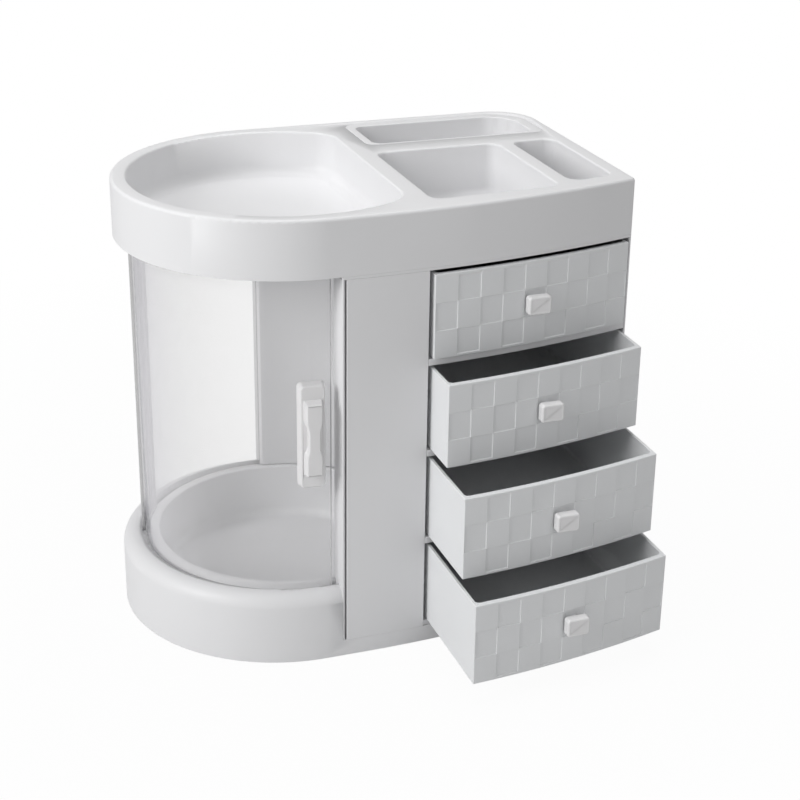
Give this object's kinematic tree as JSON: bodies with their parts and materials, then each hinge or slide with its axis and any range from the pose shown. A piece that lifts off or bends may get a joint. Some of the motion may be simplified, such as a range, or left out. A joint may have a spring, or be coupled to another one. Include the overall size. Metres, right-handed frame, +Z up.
{
  "type": "makeup organizer with drawers",
  "caption": "White desktop organizer with a round compartment behind a turning clear door, a stack of bowed drawers with checker relief, and an open cover tray.",
  "frame": {"origin": "on the vertical axis of the round end, on the surface that the organizer stands on", "axes": "+X from the round end towards the drawers, -Y to the front, +Z up"},
  "size_m": [0.3126, 0.2871, 0.29],
  "materials": {
    "cabinet_white": "satin white moulded plastic",
    "base_white": "satin white moulded plastic",
    "cover_white": "satin white moulded plastic",
    "drawer_white": "satin white moulded plastic",
    "knob_white": "satin white moulded plastic",
    "handle_white": "satin white moulded plastic",
    "clear_plastic": "clear glossy plastic",
    "foot_rubber": "matte rubber",
    "screw_steel": "zinc-plated steel"
  },
  "bodies": {
    "cabinet_frame": {"base": "base_white", "bottom_cover": "base_white", "rubber_feet": "foot_rubber", "base_screws": "screw_steel", "drawer_cabinet": "cabinet_white", "front_panel": "cabinet_white", "compartment_wall": "cabinet_white", "top_plate": "cabinet_white", "rear_shell": "clear_plastic", "shelf_1": "cabinet_white", "shelf_2": "cabinet_white", "shelf_3": "cabinet_white", "cover": "cover_white", "cover_screws": "screw_steel"},
    "clear_door": {"door": "clear_plastic", "door_handle": "handle_white", "handle_screws": "screw_steel"},
    "drawer_1_body": {"drawer_1": "drawer_white", "knob_1": "knob_white", "knob_screw_1": "screw_steel"},
    "drawer_2_body": {"drawer_2": "drawer_white", "knob_2": "knob_white", "knob_screw_2": "screw_steel"},
    "drawer_3_body": {"drawer_3": "drawer_white", "knob_3": "knob_white", "knob_screw_3": "screw_steel"},
    "drawer_4_body": {"drawer_4": "drawer_white", "knob_4": "knob_white", "knob_screw_4": "screw_steel"},
    "rear_bin_body": {"rear_bin": "cover_white"}
  },
  "joints": [
    {"name": "door_turn", "type": "hinge", "parent": "cabinet_frame", "child": "clear_door", "pos_m": [0, 0, 0], "axis": [0, 0, -1], "range_deg": [0, 60]},
    {"name": "drawer_1_slide", "type": "slide", "parent": "cabinet_frame", "child": "drawer_1_body", "axis": [0, -1, 0], "range_m": [-0.002, 0.148]},
    {"name": "drawer_2_slide", "type": "slide", "parent": "cabinet_frame", "child": "drawer_2_body", "axis": [0, -1, 0], "range_m": [-0.028, 0.122]},
    {"name": "drawer_3_slide", "type": "slide", "parent": "cabinet_frame", "child": "drawer_3_body", "axis": [0, -1, 0], "range_m": [-0.058, 0.092]},
    {"name": "drawer_4_slide", "type": "slide", "parent": "cabinet_frame", "child": "drawer_4_body", "axis": [0, -1, 0], "range_m": [-0.08, 0.07]},
    {"name": "rear_bin_lift", "type": "slide", "parent": "cabinet_frame", "child": "rear_bin_body", "axis": [0, 0, 1], "range_m": [0, 0.06]}
  ]
}
